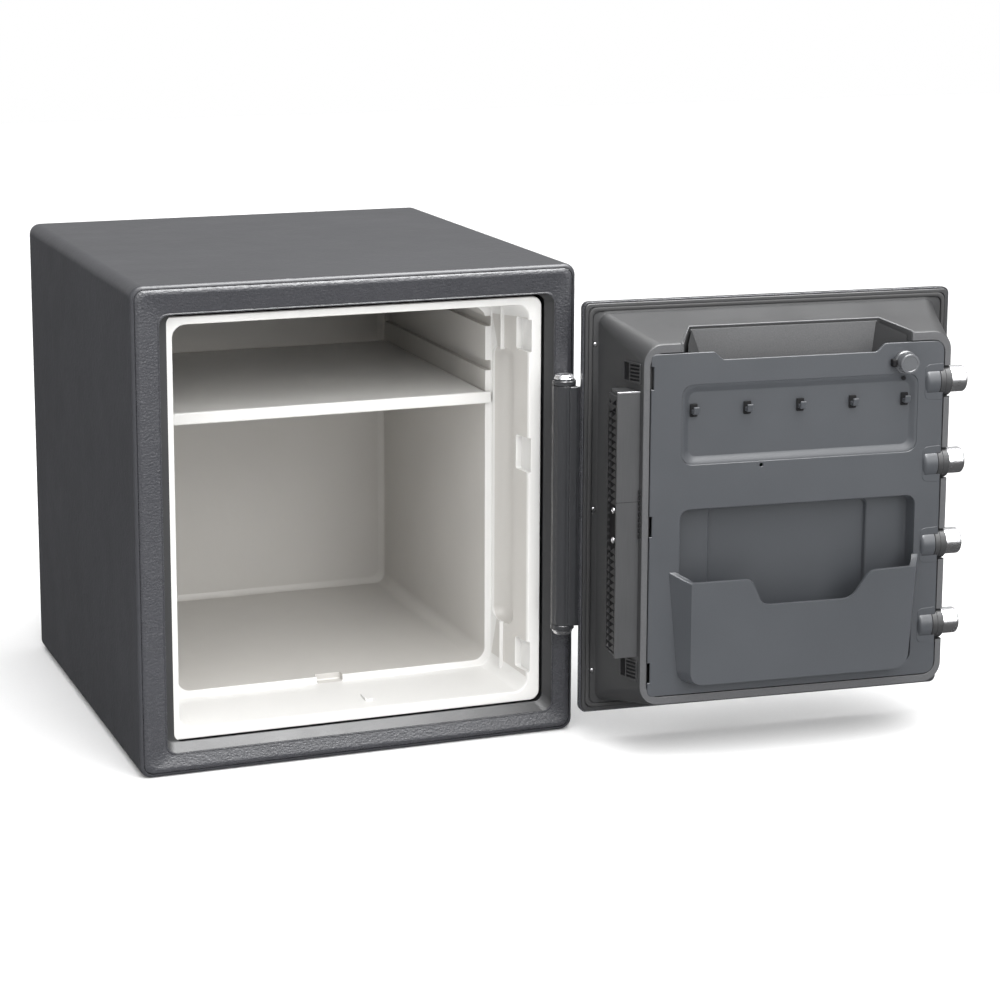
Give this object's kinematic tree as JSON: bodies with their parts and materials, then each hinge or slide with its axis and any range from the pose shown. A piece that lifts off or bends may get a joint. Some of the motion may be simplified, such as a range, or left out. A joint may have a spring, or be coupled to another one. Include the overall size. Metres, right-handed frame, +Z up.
{
  "type": "fire-resistant home safe",
  "caption": "Free-standing fire-resistant safe with a swing door, boltwork, keypad and lever, a white liner with a pull-out shelf, and storage on the door.",
  "frame": {"origin": "centre of the flat underside of the body", "axes": "+X to the right as one faces the safe, with the open door on that side; +Y from the front opening to the back; +Z up"},
  "size_m": [0.7824, 0.6023, 0.453],
  "materials": {
    "painted_shell": "satin",
    "textured_frame": "satin",
    "liner_white": "satin",
    "fill_grey": "matte",
    "door_plastic": "satin",
    "panel_plastic": "satin",
    "black_steel": "satin",
    "chrome": "polished",
    "zinc": "satin",
    "rubber_black": "matte",
    "button_grey": "satin",
    "board_green": "satin",
    "brass": "satin",
    "lamp_grey": "satin"
  },
  "bodies": {
    "cabinet": {"outer_shell": "painted_shell", "front_frame": "textured_frame", "body_fill": "fill_grey", "liner": "liner_white", "strike_plate": "zinc", "hinge_bracket": "black_steel", "hinge_pin": "zinc", "hinge_cap_top": "chrome", "hinge_cap_bottom": "chrome"},
    "shelf": {"shelf": "liner_white"},
    "door": {"door_outer_panel": "textured_frame", "door_fill": "fill_grey", "door_plug": "door_plastic", "door_gasket": "rubber_black", "hinge_bar": "black_steel", "hinge_bar_screw_upper": "chrome", "hinge_bar_screw_lower": "chrome", "door_hinge_leaf": "black_steel", "inner_panel": "panel_plastic", "document_pocket": "panel_plastic", "key_hook_1": "panel_plastic", "key_hook_2": "panel_plastic", "key_hook_3": "panel_plastic", "key_hook_4": "panel_plastic", "key_hook_5": "panel_plastic", "interior_light": "lamp_grey", "bolt_collar_1": "black_steel", "bolt_collar_2": "black_steel", "bolt_collar_3": "black_steel", "bolt_collar_4": "black_steel", "handle_rosette": "door_plastic", "keypad_housing": "door_plastic", "battery_pack": "rubber_black", "battery_cover": "door_plastic", "key_cylinder": "chrome", "circuit_board": "board_green", "keypad_cable": "rubber_black", "lock_solenoid": "zinc"},
    "bolt_carriage": {"bolt_bar": "zinc", "bolt_1": "chrome", "bolt_2": "chrome", "bolt_3": "chrome", "bolt_4": "chrome"},
    "handle": {"handle_lever": "zinc", "handle_spindle": "zinc", "handle_cam": "zinc"},
    "lock_plug": {"key_plug": "brass"},
    "blocking_plunger": {"lock_plunger": "zinc"},
    "key_1": {"button_1": "button_grey"},
    "key_2": {"button_2": "button_grey"},
    "key_3": {"button_3": "button_grey"},
    "key_4": {"button_4": "button_grey"},
    "key_5": {"button_5": "button_grey"},
    "key_6": {"button_6": "button_grey"},
    "key_7": {"button_7": "button_grey"},
    "key_8": {"button_8": "button_grey"},
    "key_9": {"button_9": "button_grey"},
    "key_clear": {"button_clear": "button_grey"},
    "key_0": {"button_0": "button_grey"},
    "key_enter": {"button_enter": "button_grey"}
  },
  "joints": [
    {"name": "door_hinge", "type": "hinge", "parent": "cabinet", "child": "door", "pos_m": [0.1945, -0.241, 0.2265], "axis": [0, 0, 1], "range_deg": [-175.3, 4.7]},
    {"name": "shelf_slide", "type": "slide", "parent": "cabinet", "child": "shelf", "axis": [0, -1, 0], "range_m": [0, 0.15]},
    {"name": "handle_turn", "type": "hinge", "parent": "door", "child": "handle", "pos_m": [0.49189, -0.27899, 0.2265], "axis": [-0.0819, -0.9966, 0], "range_deg": [0, 80]},
    {"name": "bolt_slide", "type": "slide", "parent": "door", "child": "bolt_carriage", "axis": [-0.9966, 0.0819, 0], "range_m": [0, 0.016]},
    {"name": "key_turn", "type": "hinge", "parent": "door", "child": "lock_plug", "pos_m": [0.34424, -0.24428, 0.218], "axis": [-0.0819, -0.9966, 0], "range_deg": [0, 90]},
    {"name": "plunger_slide", "type": "slide", "parent": "door", "child": "blocking_plunger", "axis": [0, 0, 1], "range_m": [-0.005, 0]},
    {"name": "press_1", "type": "slide", "parent": "door", "child": "key_1", "axis": [-0.0819, -0.9966, 0], "range_m": [0, 0.0015], "stiffness_N_per_m": 400},
    {"name": "press_2", "type": "slide", "parent": "door", "child": "key_2", "axis": [-0.0819, -0.9966, 0], "range_m": [0, 0.0015], "stiffness_N_per_m": 400},
    {"name": "press_3", "type": "slide", "parent": "door", "child": "key_3", "axis": [-0.0819, -0.9966, 0], "range_m": [0, 0.0015], "stiffness_N_per_m": 400},
    {"name": "press_4", "type": "slide", "parent": "door", "child": "key_4", "axis": [-0.0819, -0.9966, 0], "range_m": [0, 0.0015], "stiffness_N_per_m": 400},
    {"name": "press_5", "type": "slide", "parent": "door", "child": "key_5", "axis": [-0.0819, -0.9966, 0], "range_m": [0, 0.0015], "stiffness_N_per_m": 400},
    {"name": "press_6", "type": "slide", "parent": "door", "child": "key_6", "axis": [-0.0819, -0.9966, 0], "range_m": [0, 0.0015], "stiffness_N_per_m": 400},
    {"name": "press_7", "type": "slide", "parent": "door", "child": "key_7", "axis": [-0.0819, -0.9966, 0], "range_m": [0, 0.0015], "stiffness_N_per_m": 400},
    {"name": "press_8", "type": "slide", "parent": "door", "child": "key_8", "axis": [-0.0819, -0.9966, 0], "range_m": [0, 0.0015], "stiffness_N_per_m": 400},
    {"name": "press_9", "type": "slide", "parent": "door", "child": "key_9", "axis": [-0.0819, -0.9966, 0], "range_m": [0, 0.0015], "stiffness_N_per_m": 400},
    {"name": "press_clear", "type": "slide", "parent": "door", "child": "key_clear", "axis": [-0.0819, -0.9966, 0], "range_m": [0, 0.0015], "stiffness_N_per_m": 400},
    {"name": "press_0", "type": "slide", "parent": "door", "child": "key_0", "axis": [-0.0819, -0.9966, 0], "range_m": [0, 0.0015], "stiffness_N_per_m": 400},
    {"name": "press_enter", "type": "slide", "parent": "door", "child": "key_enter", "axis": [-0.0819, -0.9966, 0], "range_m": [0, 0.0015], "stiffness_N_per_m": 400}
  ],
  "couplings": [
    {"joint": "bolt_slide", "follows": "handle_turn", "m_per_rad": 0.01145}
  ]
}
